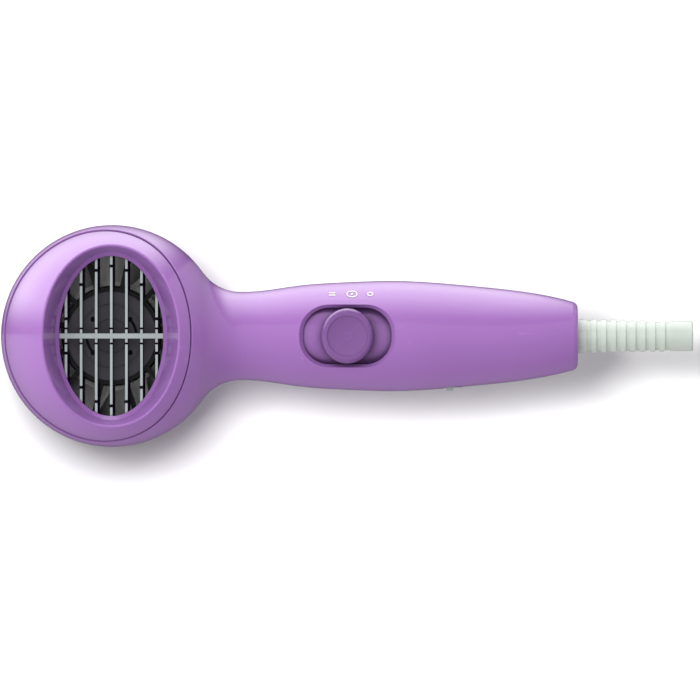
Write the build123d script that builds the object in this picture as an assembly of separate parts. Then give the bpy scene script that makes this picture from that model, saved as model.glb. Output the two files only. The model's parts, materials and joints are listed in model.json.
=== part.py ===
from build123d import *

import os
from math import atan2, cos, pi, radians, sin, sqrt, tan

# A compact hand-held hair dryer. Millimetres, +Z up. The air axis is Z: air goes in at the top and
# leaves at the bottom. The handle runs along +X. The origin is the centre of the outlet's rim.
# Heights named _Z are above the origin. Inside the head and the handle, heights are given from the
# handle's axis, which also passes through the head's centre.

# ---------------------------------------------------------------- head and handle
HEAD_RADIUS = 36.0
AXIS_Z = 82.0
WALL = 2.0
FIT = 0.05  # gap between pieces that sit in one another
NECK_RADIUS = 14.27
NECK_FILLET = 15.0
HANDLE_RADII = ((60.0, 16.3), (77.0, 17.5), (90.0, 17.9), (116.0, 16.3))
HANDLE_END_X = 151.0
HANDLE_END_RADIUS = 10.6
HANDLE_END_SLOPE = -0.33
HANDLE_END_FILLET = 2.2
BARREL_TAPER = 7.0
BARREL_END_Z = 12.0
BARREL_RIB_WIDTH = 1.6
BARREL_RIB_Z = (56.0, 76.0)
SEAM_WIDTH = 0.5
SEAM_DEPTH = 0.35

# ---------------------------------------------------------------- intake cap and grille
CAP_RADIUS = 35.3  # the cap's ball is smaller than the head's and sits higher, so its edge stands in
CAP_LIFT = HEAD_RADIUS - CAP_RADIUS
CAP_GAP = 0.3
CAP_EDGE_Z = 8.3  # height of the cap's edge above the head's centre, away from the handle
CAP_EDGE_BEND_X = -14.0
CAP_EDGE_END = (26.2, 24.7)  # where the edge crosses the head above the handle
CAP_EDGE_ROUND = 0.45
CAP_SHELL = 3.2
CAP_LIP = 3.0
CAP_LIP_GAP = 0.2
SHELL_EDGE_ROUND = 0.4

INTAKE_HALF = (16.9, 25.9)
FUNNEL_FOOT_HALF = (18.1, 27.2)
FUNNEL_MOUTH_HALF = (24.7, 40.9)
FUNNEL_MOUTH_HEIGHT = 36.0
FUNNEL_FOOT_HEIGHT = 17.5
FUNNEL_RIM_HALF = (23.2, 31.0)  # an oval just outside the rim on the cap
FUNNEL_RIM_ROUND = 0.5
INTAKE_HEIGHT = 16.3
FUNNEL_WALL = 1.8
SKIRT_END = 9.6
SEAT_GAP = 0.4

GRILLE_SEAT = 14.0
GRILLE_HALF_DEPTH = 1.2
GRILLE_CLEARANCE = 0.1
RIB_COUNT = 7
RIB_PITCH = 4.88
RIB_WIDTH = 0.78
BAR_WIDTH = 1.62
BAR_PROUD = 0.15
BREAK_DEPTH = 1.8
BREAK_HALF = (15.4, 22.6)  # an oval a little more pointed than an ellipse, whose power is 0.5
BREAK_POWER = 0.6
BREAK_OUTER_WIDTH = 1.0
BREAK_NEAR_BAR = 2.43
BREAK_NEAR_BAR_WIDTH = 0.66
LOUVRE_SHIFT = 0.8
LOUVRE_LUG_PROUD = 0.22

# ---------------------------------------------------------------- motor and its support
SUPPORT_RING = (29.8, 28.0)
SUPPORT_LOW = 1.0
SUPPORT_TOP_Z = AXIS_Z + 9.0
HUB_RADIUS = 15.8
HUB_LOW_Z = 75.0
HUB_PLATE_RADIUS = 14.4
HUB_PLATE_SHEET = 1.6
HUB_PLATE_DEPTH = 0.4
HUB_PLATE_SEAT = 2.6
HUB_GROOVES = ((10.4, 10.1, 0.5), (5.7, 5.3, 0.6))  # outer and inner radius, depth
HUB_VENT_CIRCLE = 8.04
HUB_VENT_RADIUS = 0.85
HUB_VENT_ANGLE = 42.0
HUB_SLOT_START = 8.0
HUB_SLOT_ARC = 34.0
VANE_COUNT = 12
VANE_ANGLE = 17.5
VANE_WIDTH = 1.7
VANE_FOOT_Z = AXIS_Z + 4.5
VANE_ROOT = 0.6

CAN_RADIUS = 13.9
CAN_SHEET = 0.8
CAN_LOW = 56.0
CAN_HIGH = 84.5
CAN_BOSS = (4.5, 2.0)  # radius and height of the bush seat under the can
CAN_VENT = (1.5, 8.5)  # radius of the vents and of their circle
END_CAP_RADIUS = 11.5
END_CAP_HEIGHT = 3.0
END_CAP_SKIRT = 2.0
END_CAP_BORE = 6.4
BUSH_RADIUS = 3.0
BUSH_LOW = (CAN_LOW - 1.2, CAN_LOW + 1.5)
BUSH_HIGH = (CAN_HIGH + 0.2, CAN_HIGH + 2.8)
BUSH_CLEARANCE = 0.03
SHAFT_RADIUS = 1.15
SHAFT_Z = (46.5, CAN_HIGH + 2.6)
SHAFT_HOLE = 1.9
MAGNET_INNER = 11.5
MAGNET_Z = (60.0, 80.0)
MAGNET_GAP = 5.0
CORE_RADIUS = 11.0
CORE_Z = (62.0, 77.0)
CORE_SLOT = (3.0, 6.4)  # radius of the winding slots and of their circle
CORE_MOUTH = 2.0
WINDING_SLOT_GAP = 0.2
WINDING_RADII = (9.4, 3.4)
WINDING_END = 2.6
COMMUTATOR_RADIUS = 3.4
COMMUTATOR_Z = (79.8, 84.0)
COMMUTATOR_SLOT = (0.4, 0.5)  # width, depth
COMMUTATOR_FOOT = 0.8
BRUSH_X = (3.5, 5.5)
BRUSH_Z = (81.2, 83.4)
BRUSH_HALF = 1.2
SPRING_X = (5.5, 5.9)
SPRING_Z = (81.2, 85.7)
SPRING_REACH = 2.5
TERMINAL_RADII = (10.0, 12.6)
TERMINAL_WIDTH = 1.6
TERMINAL_HALF_SHEET = 0.3
TERMINAL_POCKET = 0.4

# ---------------------------------------------------------------- fan and duct
BLADE_COUNT = 9
BLADE_RADIUS = 27.2
BLADE_SHEET = 1.3
BLADE_START = (-11.5, 63.0)  # across the blade, height
BLADE_END = (8.5, 82.5)
BLADE_CAMBER = 3.4
IMPELLER_CUP = (17.7, 16.3)
IMPELLER_Z = (50.0, 82.0)
IMPELLER_FLOOR = 1.8
IMPELLER_BOSS = (3.6, 46.0)  # radius and lower end
IMPELLER_ROUND = 1.2
DUCT_RADIUS = 27.8
DUCT_WALL = 1.4
DUCT_NECK_Z = 52.0
DUCT_FOOT_Z = 43.0
DUCT_LEAD_SLOT = (8.6, 56.0)  # width, top

# ---------------------------------------------------------------- heater and outlet
COLLAR_RADIUS = 26.6
COLLAR_LENGTH = 10.5
COLLAR_ROUND = 0.6
OUTLET_BORE = 23.8
SPIGOT_LENGTH = 6.0
OUTLET_GRILLE_Z = (7.0, 9.5)
OUTLET_RING_RADII = (8.0, 13.0, 18.0)
OUTLET_RING_WIDTH = 1.2
OUTLET_HUB = 3.2
OUTLET_RIM_WIDTH = 1.4
OUTLET_SPOKES = 8
OUTLET_SPOKE_INSET = 0.3
HEATER_TOP = 44.0
MICA_SHEET = 0.6
MICA_TUBE_SHEET = 0.4
MICA_HALF = 22.6
MICA_Z = (OUTLET_GRILLE_Z[1], 41.5)
COIL_RADIUS = 19.3
COIL_PITCH = 5.2
COIL_WIRE = 1.1
COIL_LOW = 14.5
COIL_TURNS = 5
COIL_NOTCH = 0.25
THERMOSTAT_X = (-15.0, -6.0)
THERMOSTAT_Z = (28.0, 38.0)
THERMOSTAT_DEPTH = 3.0
FUSE_PLACE = (2.0, 10.0)
FUSE_BODY = (1.4, 26.0, 36.0)  # radius, lower end, upper end
FUSE_WIRE = (0.4, 22.0, 40.0)

# ---------------------------------------------------------------- switch in the handle
SWITCH_X = 76.3
SWITCH_TRAVEL = 5.2
SWITCH_FLOOR_RADIUS = 14.6
SWITCH_PAD_RADIUS = 12.8
SWITCH_PAD = (33.0, 23.5, 9.0)  # length, width, corner
SWITCH_PAD_Z = (8.0, 20.0)
RECESS_FLOOR = (28.7, 18.3, 8.5)
RECESS_WALL = 1.25
RECESS_RIM_RADIUS = 16.25  # between the middles of the wall's corners and the handle's surface
KNOB_HALF = (8.45, 8.9)
KNOB_TOP = 18.0
KNOB_LIFT = 0.3
KNOB_ROUND = 1.5
INSET_RADIUS = 6.5
INSET_DEPTH = 1.3
INSET_SINK = 0.35
INSET_DISH_RADIUS = 38.0
INSET_DISH_DEPTH = 0.55
STEM_SIDE = 3.0
SLOT_GAP = 0.3
SLOT_HALF_WIDTH = 1.9
SLIDER_HALF = (12.6, 3.7)
SLIDER_Z = (10.6, 11.6)
SLIDER_FOOT_HALF = (2.0, 1.5)
SLIDER_FOOT_Z = 7.0
CONTACT_HALF = (4.0, 1.2)
CONTACT_SHEET = 0.6
SWITCH_HALF = (15.0, 6.5)
SWITCH_BODY_Z = (1.4, 10.0)
SWITCH_WELL_Z = 5.4
SWITCH_WELL_HALF_WIDTH = 2.0
SWITCH_TABS = (SWITCH_X - 20.2, SWITCH_X + 20.2)
SWITCH_TAB_END = 22.2
SWITCH_TAB_HALF_WIDTH = 3.0
SWITCH_TAB_Z = (5.0, 6.4)
SWITCH_BOSS = 2.0
SWITCH_TERMINAL_X = (-10.5, -3.5, 3.5, 10.5)
SWITCH_TERMINAL_HALF = (1.6, 0.4)
SWITCH_TERMINAL_LENGTH = 5.0
MARK_PLACES = (-4.9, 1.5, 7.4)  # high, low and off, from the switch's centre along the handle
MARK_Y = 13.6
MARK_STROKE = 0.42
MARK_FILM = 0.08
MARK_BAR = 2.1
MARK_BAR_SHIFT = 0.36
MARK_FAN_HALF = (1.85, 1.15)
MARK_FAN_DOT = 0.42
MARK_OFF_HALF = (1.05, 0.75)

# ---------------------------------------------------------------- voltage selector
SELECTOR_X = 110.7
SELECTOR_HOLE = 3.2
SELECTOR_HOLE_DEPTH = 14.0
SELECTOR_DISC = (2.95, 14.3, 16.6)  # radius, near face, far face from the handle's axis
SELECTOR_STEM = (1.5, 9.5)  # radius, near end
SELECTOR_BORE = 1.56
SELECTOR_POINTER_HALF = (1.15, 1.7)
SELECTOR_POINTER_SHIFT = -1.1
SELECTOR_POINTER_Y = (16.1, 17.7)
SELECTOR_BODY_HALF = (4.5, 4.2)
SELECTOR_BODY_Y = (8.5, 13.5)
SELECTOR_TERMINAL_X = 2.5
SELECTOR_TERMINAL_HALF = (1.0, 0.3)
SELECTOR_TERMINAL_Y = 5.5

# ---------------------------------------------------------------- screws and bosses
SCREW_PLACES = (50.0, 101.9, 129.0)
SCREW_RADIUS = 1.3
SCREW_HEAD = (2.5, 2.2)  # radius, height
SCREW_HEAD_GAP = 0.3
SCREW_SEAT = 7.0
SCREW_TOP = 8.0
BOSS_RADIUS = 3.1
SMALL_SCREW = 0.9
SWITCH_SCREW_HEAD = (1.7, 1.3)
SWITCH_SCREW_TOP = 12.0
CROSS_LONG = 0.7  # the cross slot's half length, as a share of the head's radius
CROSS_HALF_WIDTH = 0.25

# ---------------------------------------------------------------- rectifier board
BOARD_X = (105.8, 124.0)
BOARD_Y = (-5.0, 8.5)
BOARD_LOW = -8.6
BOARD_SHEET = 1.2
BOARD_POSTS = (109.0, 121.0)
BOARD_POST_Y = 4.0
BOARD_POST_RADIUS = 1.8
DIODE_RADIUS = 1.2
DIODE_X = (107.0, 112.0)
DIODE_Y = (-3.2, 0.0, 3.2, 6.4)
CAPACITOR_X = (114.5, 122.0)
CAPACITOR_HALF_WIDTH = 3.5
CAPACITOR_HEIGHT = 5.5

# ---------------------------------------------------------------- cord entry
RELIEF_LENGTH = 37.4
RELIEF_RADII = (5.5, 4.87)
RELIEF_COLLAR = 2.85
RELIEF_RIBS = 8
RELIEF_FIRST_RIB = 5.2
RELIEF_RIB_PITCH = 3.18
RELIEF_RIB_WIDTH = 1.62
RELIEF_GROOVE = 0.45
RELIEF_SLEEVE = 7.4
RELIEF_SLEEVE_ROUND = 0.6
RELIEF_NECK_DEPTH = 0.6
RELIEF_FLANGE = (6.6, 2.2)  # radius, thickness
CORD_RADIUS = 3.4
CLAMP_X = 141.0
CLAMP_HALF = (2.5, 8.2)
CLAMP_LOW = 3.5
CLAMP_SHEET = 2.4
CLAMP_TOOTH = (1.5, 0.4, 0.5)  # place, half width, depth
CLAMP_SCREW_Y = 6.3
CLAMP_SCREW_HEAD = (1.6, 1.2)
CLAMP_SCREW_TIP = -5.0
CLAMP_BOSS = 2.0

# ---------------------------------------------------------------- internal leads
LEAD_RADIUS = 0.7
LEAD_GAP = 0.15
LEAD_ANGLES = (VANE_ANGLE, VANE_ANGLE - 360 / VANE_COUNT)
MOTOR_LEAD_Z = VANE_FOOT_Z - LEAD_RADIUS - 0.3
MOTOR_LEAD_RADII = (12.9, 32.0)
MOTOR_LEAD_BEND = 3.0
MOTOR_LEAD_ROUTE = (
    (46.0, 8.0, AXIS_Z - 3),
    (62.0, 9.5, AXIS_Z - 6),
    (104.0, 5.0, AXIS_Z - 6),
)
HEATER_LEAD_BEND = 2.4
HEATER_LEAD_ROUTE = (
    (21.0, 2.6, HEATER_TOP + 0.6),
    (26.0, 2.6, HEATER_TOP + 0.6),
    (29.95, 2.6, 57.0),
    (31.0, 3.4, 72.0),
    (44.0, 4.6, AXIS_Z - 6),
    (60.0, 4.6, AXIS_Z - 4),
)

FAR = 400.0
EVERYWHERE = (-FAR, FAR)
TOUCH = 0.02
PAST = 1.0  # how far a cutter or a joined end goes past the face that it meets


# ---------------------------------------------------------------- shape helpers
def ring(outer, inner, low, high):
    """A tube about the air axis between two heights."""
    place = Pos(0, 0, (low + high) / 2)
    return place * (Cylinder(outer, high - low) - Cylinder(inner, high - low))


def disc(radius, low, high, x=0.0, y=0.0):
    return Pos(x, y, (low + high) / 2) * Cylinder(radius, high - low)


def rod(radius, start, end, y=0.0, z=AXIS_Z):
    """A cylinder along X."""
    return Pos((start + end) / 2, y, z) * Rot(0, 90, 0) * Cylinder(radius, end - start)


def cross_rod(radius, near, far):
    """A cylinder along -Y at the voltage selector, between two distances from the handle's axis."""
    return Pos(SELECTOR_X, -(near + far) / 2, AXIS_Z) * Rot(90, 0, 0) * Cylinder(radius, far - near)


def block(x, y, z):
    """A box from three (low, high) pairs."""
    centre = [(low + high) / 2 for low, high in (x, y, z)]
    return Pos(*centre) * Box(*[high - low for low, high in (x, y, z)])


def either_side(half, centre=0.0):
    return (centre - half, centre + half)


def above_axis(heights):
    return (AXIS_Z + heights[0], AXIS_Z + heights[1])


def switch_block(half_x, half_y, z):
    """A box centred on the switch, its heights given from the handle's axis."""
    return block(either_side(half_x, SWITCH_X), either_side(half_y), above_axis(z))


def oval(half, low, high):
    """An elliptic prism about the air axis, its heights given from the head's centre."""
    return extrude(Pos(0, 0, AXIS_Z + low) * Ellipse(*half), high - low)


def oval_cone(low_half, high_half, low, high):
    faces = [Pos(0, 0, AXIS_Z + z) * Ellipse(*half) for half, z in ((low_half, low), (high_half, high))]
    return loft(faces, ruled=True)


def grown(half, by):
    return (half[0] + by, half[1] + by)


def around(count, first=0.0):
    """Turns about the air axis, evenly spaced."""
    return [Rot(0, 0, first + 360.0 * k / count) for k in range(count)]


def spoke(width, start, end, low, high):
    return block((start, end), either_side(width / 2), (low, high))


def lead(points, bend):
    """An insulated lead: straight runs joined by tangent arcs."""
    path = FilletPolyline(*points, radius=bend)
    section = Plane(origin=path @ 0, z_dir=path % 0) * Circle(LEAD_RADIUS)
    return sweep(section, path=path)


def screw(x, y, seat, tip, radius, head):
    """A pan-head screw along Z with a cross slot. It points up or down, from its seat to its tip."""
    head_radius, head_height = head
    away = -1 if tip > seat else 1
    top = seat + away * head_height
    body = disc(radius, *sorted((seat, tip)), x, y) + disc(head_radius, *sorted((seat, top)), x, y)
    slot = sorted((top, top - away * head_height / 2))
    long_half = head_radius * CROSS_LONG
    for half_x, half_y in ((long_half, CROSS_HALF_WIDTH), (CROSS_HALF_WIDTH, long_half)):
        body -= block(either_side(half_x, x), either_side(half_y, y), slot)
    return body


# ---------------------------------------------------------------- the outer form
def side_plane(height=0.0):
    """The plane of the handle's outline, with its origin at a height above the head's centre."""
    return Plane(origin=(0, 0, AXIS_Z + height), x_dir=(1, 0, 0), z_dir=(0, -1, 0))


def head_and_handle(inset):
    """Head and handle as one form turned about the handle's axis, inset by a wall."""
    radius = HEAD_RADIUS - inset
    fillet_radius = NECK_FILLET + inset
    reach = HEAD_RADIUS + NECK_FILLET
    centre = (sqrt(reach**2 - (NECK_RADIUS + NECK_FILLET) ** 2), NECK_RADIUS + NECK_FILLET)
    touch = (centre[0] * radius / reach, centre[1] * radius / reach)
    neck = (centre[0], NECK_RADIUS - inset)
    head_turn = (pi + atan2(touch[1], touch[0])) / 2
    neck_turn = (atan2(-centre[1], -centre[0]) - pi / 2) / 2
    end = (HANDLE_END_X - inset, HANDLE_END_RADIUS - inset)
    stations = [(x, r - inset) for x, r in HANDLE_RADII]
    with BuildSketch(side_plane()) as outline:
        with BuildLine():
            ThreePointArc((-radius, 0), (radius * cos(head_turn), radius * sin(head_turn)), touch)
            neck_middle = (centre[0] + fillet_radius * cos(neck_turn),
                           centre[1] + fillet_radius * sin(neck_turn))
            ThreePointArc(touch, neck_middle, neck)
            Spline(neck, *stations, end, tangents=[(1, 0), (1, HANDLE_END_SLOPE)])
            Line(end, (end[0], 0))
            Line((end[0], 0), (-radius, 0))
        make_face()
    return revolve(outline.sketch, axis=Axis((0, 0, AXIS_Z), (1, 0, 0)), revolution_arc=360)


def barrel_radius(z, inset=0.0):
    """Radius at a height of the cone that touches the head, inset by a wall."""
    taper = radians(BARREL_TAPER)
    return (HEAD_RADIUS - inset) / cos(taper) - (AXIS_Z - z) * tan(taper)


def barrel(inset, low=BARREL_END_Z):
    """The tapered barrel, tangent to the head."""
    top = AXIS_Z - (HEAD_RADIUS - inset) * sin(radians(BARREL_TAPER))
    cone = Cone(barrel_radius(low, inset), barrel_radius(top, inset), top - low)
    return Pos(0, 0, (top + low) / 2) * cone


def cap_edge_arc_radius():
    """The cap's edge is level up to its bend and then an arc that passes through its end."""
    run = CAP_EDGE_END[0] - CAP_EDGE_BEND_X
    rise = CAP_EDGE_END[1] - CAP_EDGE_Z
    return (run**2 + rise**2) / (2 * rise)


def cap_edge_height(x):
    radius = cap_edge_arc_radius()
    along = max(0.0, x - CAP_EDGE_BEND_X)
    return CAP_EDGE_Z + radius - sqrt(radius**2 - along**2)


def above_cap_edge(shift):
    """Everything above the cap's edge, which is moved up by a shift."""
    bend = (CAP_EDGE_BEND_X, CAP_EDGE_Z)
    side = HEAD_RADIUS * 1.2
    end = (side, cap_edge_height(side))
    with BuildSketch(side_plane(shift)) as outline:
        with BuildLine():
            Line((-side, CAP_EDGE_Z), bend)
            TangentArc(bend, end, tangent=(1, 0))
            Polyline(end, (side, 2 * side), (-side, 2 * side), (-side, CAP_EDGE_Z))
        make_face()
    return extrude(outline.sketch, amount=side, both=True)


def head_ball(radius, lift=0.0):
    return Pos(0, 0, AXIS_Z + lift) * Sphere(radius)


OUTER = head_and_handle(0)
OUTER = fillet(OUTER.edges().sort_by(Axis.X)[-1], HANDLE_END_FILLET)
OUTER = OUTER + barrel(0)
INNER = head_and_handle(WALL) + barrel(WALL, BARREL_END_Z - PAST)
REAR_HALF = block(EVERYWHERE, EVERYWHERE, (AXIS_Z, FAR))
FRONT_HALF = block(EVERYWHERE, EVERYWHERE, (-FAR, AXIS_Z))
HANDLE_ENDS = (SWITCH_X - HEAD_RADIUS, SWITCH_X + HEAD_RADIUS)


# ---------------------------------------------------------------- picking edges to round
def middle(edge):
    """The middle of an edge, seen from the head's centre."""
    return edge @ 0.5 - Vector(0, 0, AXIS_Z)


def on_ball(edge, radius, lift=0.0):
    return abs((middle(edge) - Vector(0, 0, lift)).length - radius) < TOUCH


def on_cap_edge(edge, shift):
    point = middle(edge)
    return abs(point.Z - shift - cap_edge_height(point.X)) < TOUCH


def inside_oval(edge, half):
    point = middle(edge)
    return (point.X / half[0]) ** 2 + (point.Y / half[1]) ** 2 < 1


# ---------------------------------------------------------------- housings
def seam_groove():
    skin = OUTER - head_and_handle(SEAM_DEPTH)
    return skin & block(EVERYWHERE, EVERYWHERE, either_side(SEAM_WIDTH / 2, AXIS_Z))


def boss(x, low, high, radius=BOSS_RADIUS, y=0.0):
    """A screw boss inside the shell, its ends given from the handle's axis."""
    return disc(radius, AXIS_Z + low, AXIS_Z + high, x, y) & OUTER


def relief_hole():
    return rod(RELIEF_RADII[0] - RELIEF_NECK_DEPTH + FIT, HANDLE_END_X - 2 * WALL, HANDLE_END_X + PAST)


def selector_hole():
    far = HEAD_RADIUS
    return cross_rod(SELECTOR_HOLE, far - 2 * SELECTOR_HOLE_DEPTH, far)


SEAM = seam_groove()


def switch_recess():
    """A slot-shaped recess with straight walls and a floor that follows the handle."""
    floor = Pos(SWITCH_X, 0, AXIS_Z + SWITCH_PAD_Z[0]) * RectangleRounded(*RECESS_FLOOR)
    return extrude(floor, SWITCH_PAD_Z[1] - SWITCH_PAD_Z[0]) - rod(SWITCH_FLOOR_RADIUS, *HANDLE_ENDS)


def recess_rim(shell):
    """The edges where the recess meets the handle's surface."""
    length, width, corner = RECESS_FLOOR
    found = []
    for edge in shell.edges():
        point = middle(edge)
        beside = abs(point.X - SWITCH_X) < length / 2 + TOUCH and abs(point.Y) < width / 2 + TOUCH
        if beside and sqrt(point.Y**2 + point.Z**2) > RECESS_RIM_RADIUS:
            found.append(edge)
    return found


def rear_housing():
    body = (OUTER - INNER) & REAR_HALF
    pad_low, pad_high = SWITCH_PAD_Z
    pad = Pos(SWITCH_X, 0, AXIS_Z + pad_low) * extrude(RectangleRounded(*SWITCH_PAD), pad_high - pad_low)
    body += (pad & OUTER) - rod(SWITCH_PAD_RADIUS, *HANDLE_ENDS)
    body -= switch_recess()
    body = chamfer(recess_rim(body), RECESS_WALL)
    body -= above_cap_edge(0)
    body = fillet([edge for edge in body.edges() if on_ball(edge, HEAD_RADIUS) and on_cap_edge(edge, 0)],
                  SHELL_EDGE_ROUND)
    for x in SCREW_PLACES:
        body += boss(x, 0, HEAD_RADIUS)
        body -= disc(SCREW_RADIUS, AXIS_Z - PAST, AXIS_Z + SCREW_TOP, x)
    for x in SWITCH_TABS:
        body += boss(x, SWITCH_TAB_Z[1], HEAD_RADIUS, SWITCH_BOSS)
        body -= disc(SMALL_SCREW, AXIS_Z, AXIS_Z + SWITCH_SCREW_TOP, x)
    slot = SWITCH_TRAVEL + STEM_SIDE / 2 + SLOT_GAP
    body -= switch_block(slot, SLOT_HALF_WIDTH, SWITCH_PAD_Z)
    return body - relief_hole() - selector_hole() - SEAM


def front_housing():
    body = (OUTER - INNER) & FRONT_HALF
    for turn in around(4, 45):
        rib = turn * spoke(BARREL_RIB_WIDTH, DUCT_RADIUS + DUCT_WALL + FIT, HEAD_RADIUS, *BARREL_RIB_Z)
        body += rib & OUTER
    for x in SCREW_PLACES:
        body += boss(x, -HEAD_RADIUS, 0)
        body -= disc(SCREW_RADIUS, AXIS_Z - HEAD_RADIUS, AXIS_Z + PAST, x)
        body -= disc(SCREW_HEAD[0] + SCREW_HEAD_GAP, AXIS_Z - HEAD_RADIUS, AXIS_Z - SCREW_SEAT, x)
    for y in either_side(CLAMP_SCREW_Y):
        body += boss(CLAMP_X, -HEAD_RADIUS, CLAMP_LOW, CLAMP_BOSS, y)
        body -= disc(SMALL_SCREW, AXIS_Z + CLAMP_SCREW_TIP - PAST, AXIS_Z + CLAMP_LOW + PAST, CLAMP_X, y)
    for x in BOARD_POSTS:
        body += boss(x, -HEAD_RADIUS, BOARD_LOW, BOARD_POST_RADIUS, BOARD_POST_Y)
    return body - relief_hole() - selector_hole() - SEAM


def intake_cap():
    """The rounded cap set into the rear housing, with the oval funnel down to the grille."""
    body = (head_ball(CAP_RADIUS, CAP_LIFT) - head_ball(HEAD_RADIUS - CAP_SHELL)) & above_cap_edge(CAP_GAP)
    body = fillet([edge for edge in body.edges()
                   if on_ball(edge, CAP_RADIUS, CAP_LIFT) and on_cap_edge(edge, CAP_GAP)], CAP_EDGE_ROUND)
    lip = head_ball(HEAD_RADIUS - WALL - CAP_LIP_GAP) - head_ball(HEAD_RADIUS - CAP_SHELL)
    body += (lip & above_cap_edge(-CAP_LIP)) - above_cap_edge(CAP_GAP + CAP_EDGE_ROUND)
    wall = oval_cone(grown(FUNNEL_FOOT_HALF, FUNNEL_WALL), grown(FUNNEL_MOUTH_HALF, FUNNEL_WALL),
                     FUNNEL_FOOT_HEIGHT, FUNNEL_MOUTH_HEIGHT)
    wall += oval(grown(FUNNEL_FOOT_HALF, FUNNEL_WALL), SKIRT_END, FUNNEL_FOOT_HEIGHT)
    body += wall & head_ball(CAP_RADIUS - FIT, CAP_LIFT)
    body -= oval_cone(FUNNEL_FOOT_HALF, FUNNEL_MOUTH_HALF, FUNNEL_FOOT_HEIGHT, FUNNEL_MOUTH_HEIGHT)
    body = fillet([edge for edge in body.edges()
                   if on_ball(edge, CAP_RADIUS, CAP_LIFT) and inside_oval(edge, FUNNEL_RIM_HALF)],
                  FUNNEL_RIM_ROUND)
    body -= oval_cone(INTAKE_HALF, FUNNEL_FOOT_HALF, INTAKE_HEIGHT, FUNNEL_FOOT_HEIGHT)
    body -= oval(INTAKE_HALF, GRILLE_SEAT - PAST, INTAKE_HEIGHT)
    return body - oval(grown(FUNNEL_FOOT_HALF, SEAT_GAP), SKIRT_END - PAST, GRILLE_SEAT)


# ---------------------------------------------------------------- intake grille
RIB_PLACES = [(k - RIB_COUNT // 2) * RIB_PITCH for k in range(RIB_COUNT)]
GRILLE_LOW = GRILLE_SEAT - GRILLE_HALF_DEPTH
GRILLE_HIGH = GRILLE_SEAT + GRILLE_HALF_DEPTH


def slat(x, width, low, high):
    return block(either_side(width / 2, x), EVERYWHERE, above_axis((low, high)))


def grille_frame(low, high):
    outer = grown(FUNNEL_FOOT_HALF, SEAT_GAP - GRILLE_CLEARANCE)
    return oval(outer, low, high) - oval(grown(INTAKE_HALF, GRILLE_CLEARANCE), low, high)


def breaks(x):
    """Where a rib is broken, and how widely: along an oval and beside the bar."""
    along = (1 - (x / BREAK_HALF[0]) ** 2) ** BREAK_POWER * BREAK_HALF[1]
    outer = [(y, BREAK_OUTER_WIDTH) for y in either_side(along)]
    return outer + [(y, BREAK_NEAR_BAR_WIDTH) for y in either_side(BREAK_NEAR_BAR)]


def intake_grille():
    """Thin upright ribs and one cross bar, the ribs notched almost through at their breaks."""
    ribs = slat(RIB_PLACES[0], RIB_WIDTH, GRILLE_LOW, GRILLE_HIGH)
    for x in RIB_PLACES[1:]:
        ribs += slat(x, RIB_WIDTH, GRILLE_LOW, GRILLE_HIGH)
    for x in RIB_PLACES:
        for y, width in breaks(x):
            ribs -= block(either_side(RIB_WIDTH, x), either_side(width / 2, y),
                          above_axis((GRILLE_HIGH - BREAK_DEPTH, GRILLE_HIGH + PAST)))
    bar = block(EVERYWHERE, either_side(BAR_WIDTH / 2), above_axis((GRILLE_LOW, GRILLE_HIGH + BAR_PROUD)))
    inside = oval(grown(INTAKE_HALF, -GRILLE_CLEARANCE), GRILLE_SEAT, GRILLE_HIGH + PAST)
    under = oval(grown(INTAKE_HALF, SEAT_GAP), GRILLE_LOW, GRILLE_SEAT)
    return ((ribs + bar) & (inside + under)) + grille_frame(GRILLE_LOW, GRILLE_SEAT)


def louvre_lug(x, y, width):
    """A dark lug that fills a rib's break and bridges the strip that is left of the rib."""
    half_width = RIB_WIDTH / 2 + LOUVRE_LUG_PROUD
    half_length = width / 2 - FIT
    lug = block(either_side(half_width, x), either_side(half_length, y),
                above_axis((GRILLE_LOW, GRILLE_HIGH - FIT)))
    strip = block(either_side(RIB_WIDTH / 2 + FIT, x), EVERYWHERE,
                  above_axis((GRILLE_LOW - PAST, GRILLE_HIGH - BREAK_DEPTH + FIT)))
    return lug - strip


def louvre_slat(x, low, high):
    """A slat that stands out to one side of its rib, and less so where it passes over the hub."""
    over_hub = sqrt(HUB_RADIUS ** 2 - x ** 2)
    edge = x + RIB_WIDTH / 2
    relief = block((edge + LOUVRE_LUG_PROUD, edge + 2 * LOUVRE_SHIFT), either_side(over_hub),
                   above_axis((low - PAST, high + PAST)))
    return slat(x + LOUVRE_SHIFT / 2, RIB_WIDTH + LOUVRE_SHIFT, low, high) - relief


def intake_louvre():
    """The dark louvre carrier right behind the grille."""
    low, high = SKIRT_END + GRILLE_CLEARANCE, GRILLE_LOW
    slats = louvre_slat(RIB_PLACES[0], low, high)
    for x in RIB_PLACES[1:]:
        slats += louvre_slat(x, low, high)
    body = (slats & oval(grown(INTAKE_HALF, SEAT_GAP), low, high)) + grille_frame(low, high)
    for x in RIB_PLACES:
        for y, width in breaks(x):
            body += louvre_lug(x, y, width)
    return body


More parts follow.
